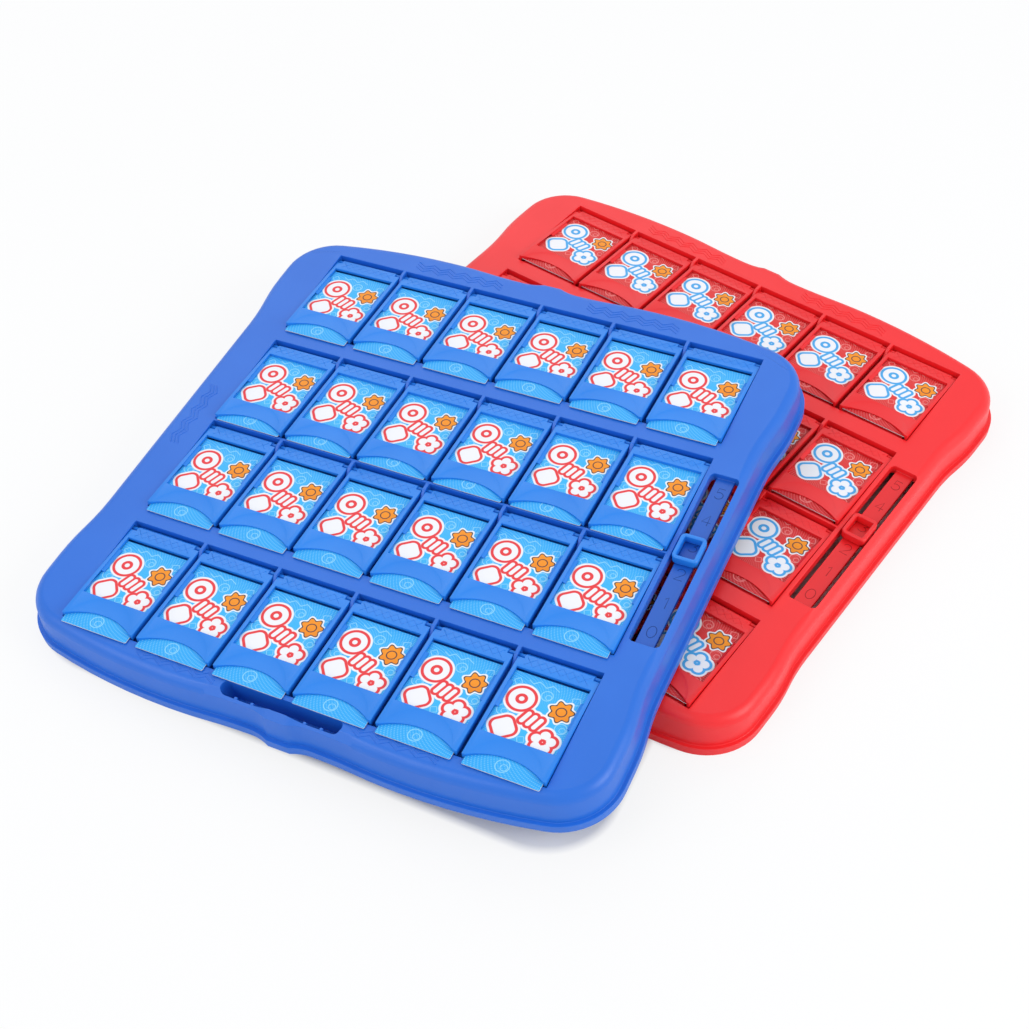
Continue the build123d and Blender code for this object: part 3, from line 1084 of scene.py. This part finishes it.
def makeTray(colour):
    place = boards[colour]
    plan = trayEdges
    cuts = (plan["cutsX"], plan["cutsY"])
    tray = mergedCopy(f"{colour}_tray", f"{colour}Tray", place.inverted(), cuts, slopedRim)
    pickEdges(tray, shortRim)
    bpy.ops.object.mode_set(mode="EDIT")
    bpy.ops.mesh.merge(type="COLLAPSE")
    bpy.ops.object.mode_set(mode="OBJECT")
    pickEdges(tray, fadingRim)
    bpy.ops.object.mode_set(mode="EDIT")
    bpy.ops.mesh.subdivide(number_cuts=plan["fadePieces"] - 1)
    bpy.ops.object.mode_set(mode="OBJECT")

    # One rounding for all edges, as wide as each edge's weight says
    weights = tray.data.attributes.new("bevel_weight_edge", "FLOAT", "EDGE")
    for edge, width in edgeValues(tray, roundWidth):
        weights.data[edge.index].value = width / plan["roundover"]
    rim = tray.modifiers.new("rim", "BEVEL")
    rim.width = plan["roundover"] * mm
    rim.segments = plan["segments"]
    rim.limit_method = "WEIGHT"
    rim.use_clamp_overlap = False
    applyAll(tray)
    tray.data.attributes.remove(tray.data.attributes["bevel_weight_edge"])
    even = tray.modifiers.new("even", "WEIGHTED_NORMAL")
    even.keep_sharp = True
    smoothFaces(tray, 40)
    applyAll(tray)
    tray.data.transform(place)
    repaint(tray, [trayLook(colour)])
    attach(tray, f"{colour}_board")
    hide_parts(f"{colour}_tray")
    print(colour, "tray", len(tray.data.polygons), "faces")


for colour in colours:
    makeTray(colour)
    makeDeckRelief(colour)
    makeNumbers(colour)


# The marker's ring and its two hooked legs, in mm on the board
markerPlan = {
    "place": (120.2, 1.8),
    "width": 11.4,
    "length": 14.0,
    "bottom": 16.8,
    "top": 20.8,
    "wall": 1.8,
    "corner": 2.3,
    "round": 0.6,
    "legX": 5.05,
    "legWidth": 1.3,
    "legLength": 8.0,
    "legBottom": 13.4,
    "hookX": 4.45,
    "hookWidth": 2.5,
    "hookTop": 14.2,
    "legSunk": 0.6,
    "legEdge": 0.15,
}


def boxPart(name, middle, size):
    deselectAll()
    bpy.ops.mesh.primitive_cube_add(size=1.0)
    box = startPart(name)
    scale = Matrix.Diagonal([side * mm for side in size]).to_4x4()
    bake(box, Matrix.Translation([side * mm for side in middle]) @ scale)
    return box


def makeMarker(colour):
    plan = markerPlan
    x, y = plan["place"]
    height = plan["top"] - plan["bottom"]
    size = (plan["width"], plan["length"], height)
    ring = boxPart(f"{colour}Marker", (x, y, plan["bottom"] + height / 2), size)
    pickEdges(ring, lambda ends, normals: abs(ends[0].z - ends[1].z) > 0.001)
    bevelPicked(plan["corner"] * mm, 6)

    # Open at the top and bottom, then as thick as its wall
    bpy.ops.object.mode_set(mode="EDIT")
    bpy.ops.mesh.select_mode(type="FACE")
    bpy.ops.mesh.select_all(action="DESELECT")
    bpy.ops.object.mode_set(mode="OBJECT")
    for face in ring.data.polygons:
        face.select = abs(face.normal.z) > 0.9
    bpy.ops.object.mode_set(mode="EDIT")
    bpy.ops.mesh.delete(type="ONLY_FACE")
    bpy.ops.object.mode_set(mode="OBJECT")
    wall = ring.modifiers.new("wall", "SOLIDIFY")
    wall.thickness = plan["wall"] * mm
    wall.offset = -1.0
    wall.use_even_offset = True
    applyAll(ring)
    turnOutwards(ring)
    softenEdges(ring, plan["round"] * mm, 4, 0.9)

    legHeight = plan["bottom"] + plan["legSunk"] - plan["legBottom"]
    hookHeight = plan["hookTop"] - plan["legBottom"]
    for side in (-1, 1):
        legPlace = (x + side * plan["legX"], y, plan["legBottom"] + legHeight / 2)
        leg = boxPart("leg", legPlace, (plan["legWidth"], plan["legLength"], legHeight))
        hookPlace = (x + side * plan["hookX"], y, plan["legBottom"] + hookHeight / 2)
        hook = boxPart("hook", hookPlace, (plan["hookWidth"], plan["legLength"], hookHeight))
        combine(leg, hook, "UNION")
        softenEdges(leg, plan["legEdge"] * mm)
        joinTo(ring, leg)
    smoothFaces(ring, 40)
    ring.data.transform(boards[colour])
    repaint(ring, [markerLook(colour)])
    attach(ring, f"{colour}_marker")
    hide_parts(f"{colour}_marker")
    print(colour, "marker", len(ring.data.polygons), "faces")


def markerLook(colour):
    tone = plastics[colour]
    look = Look(f"{colour}MarkerPlastic")
    coords = look.add("ShaderNodeTexCoord", None, None, 3)
    cloud = look.noise(coords, 60.0, 2.0)
    grain = look.noise(coords, 2400.0, 2.0)
    shade = look.mottle(tone["frame"], tone["frameShade"], cloud)
    rough = plastics["rough"] - 0.04 + (grain - 0.5) * 0.05
    return look.finish(shade, rough, look.bump(grain, 0.00001, 0.5), plastics["specular"])


for colour in colours:
    makeMarker(colour)


# The shadow's lengths are in metres, the lens and the camera's place in mm
studio = {
    "floor": (0.88, 0.88, 0.88, 1.0),
    "floorShade": (0.85, 0.85, 0.855, 1.0),
    "white": 0.82,
    "shadowHalf": (0.1305, 0.1315),
    "shadowCorner": 0.03,
    "shadowSoft": 0.004,
    "sky": (0.93, 0.96, 1.0, 1.0),
    "skyStrength": 0.77,
    "lens": 56.819,
    "camera": (
        (0.803788, -0.439955, 0.400455, 308.632),
        (0.594913, 0.596396, -0.538880, -409.815),
        (-0.001747, 0.671381, 0.741111, 546.705),
        (0.0, 0.0, 0.0, 1.0),
    ),
}


def floorLook():
    # The camera sees the floor as nearly white, but not under the boards
    look = Look("studioFloor")
    coords = look.add("ShaderNodeTexCoord", None, None, 3)
    pale = look.paint(studio["floor"], studio["floorShade"], look.noise(coords, 3.0))
    matt = {"Base Color": pale, "Roughness": 0.9, "Specular IOR Level": 0.1}
    shader = look.add("ShaderNodeBsdfPrincipled", None, matt)
    seen = look.add("ShaderNodeLightPath", None, None, "Is Camera Ray")
    glow = look.add("ShaderNodeEmission", None, {"Color": (1, 1, 1, 1), "Strength": 1.0})
    x, y = look.parts(coords)[:2]
    gaps = []
    for colour in colours:
        place = boards[colour].to_translation()
        turn = math.degrees(boards[colour].to_euler().z)
        gaps.append(boxGap(x, y, place.x, place.y, *studio["shadowHalf"], studio["shadowCorner"], turn))
    clear = 1.0 - look.inside(gaps[0].low(gaps[1]), studio["shadowSoft"])
    both = look.add("ShaderNodeMixShader", None, {0: seen * clear * studio["white"], 1: shader, 2: glow})
    look.add("ShaderNodeOutputMaterial", None, {"Surface": both})
    return look.material


deselectAll()
bpy.ops.mesh.primitive_plane_add(size=12.0, location=(0, 0, 0))
floor = startPart("studioFloor")
floor.data.materials.append(floorLook())

world = bpy.data.worlds.new("studioWorld")
bpy.context.scene.world = world
sky = Look("studioWorld", world)
seen = sky.add("ShaderNodeLightPath", None, None, "Is Camera Ray")
soft = sky.add("ShaderNodeBackground", None, {"Color": studio["sky"], "Strength": studio["skyStrength"]})
white = sky.add("ShaderNodeBackground", None, {"Color": (1.0, 1.0, 1.0, 1.0), "Strength": 1.0})
pick = sky.add("ShaderNodeMixShader", None, {0: seen, 1: soft, 2: white})
sky.add("ShaderNodeOutputWorld", None, {"Surface": pick})

lamps = {
    "back": {"place": (-1.15, 1.05, 1.30), "size": 1.6, "power": 6.5},
    "right": {"place": (1.25, 0.30, 0.75), "size": 0.8, "power": 8.0},
    "front": {"place": (-0.55, -1.15, 1.05), "size": 1.0, "power": 6.0},
}
lampAim = Vector((0, 0, 0.02))
for name, lamp in lamps.items():
    data = bpy.data.lights.new(name, "AREA")
    data.shape = "SQUARE"
    data.size = lamp["size"]
    data.energy = lamp["power"]
    light = bpy.data.objects.new(name, data)
    bpy.context.scene.collection.objects.link(light)
    place = Vector(lamp["place"])
    light.location = place
    light.rotation_euler = (lampAim - place).to_track_quat("-Z", "Y").to_euler()

cameraData = bpy.data.cameras.new("photoCamera")
cameraData.lens = studio["lens"]
cameraData.sensor_width = 36.0
cameraData.clip_start = 0.01
camera = bpy.data.objects.new("photoCamera", cameraData)
bpy.context.scene.collection.objects.link(camera)
matrix = Matrix(studio["camera"])
for i in range(3):
    matrix[i][3] *= mm
camera.matrix_world = matrix
bpy.context.scene.camera = camera
bpy.context.scene.view_settings.view_transform = "Standard"

bpy.context.view_layer.update()
print("studio and sizes")
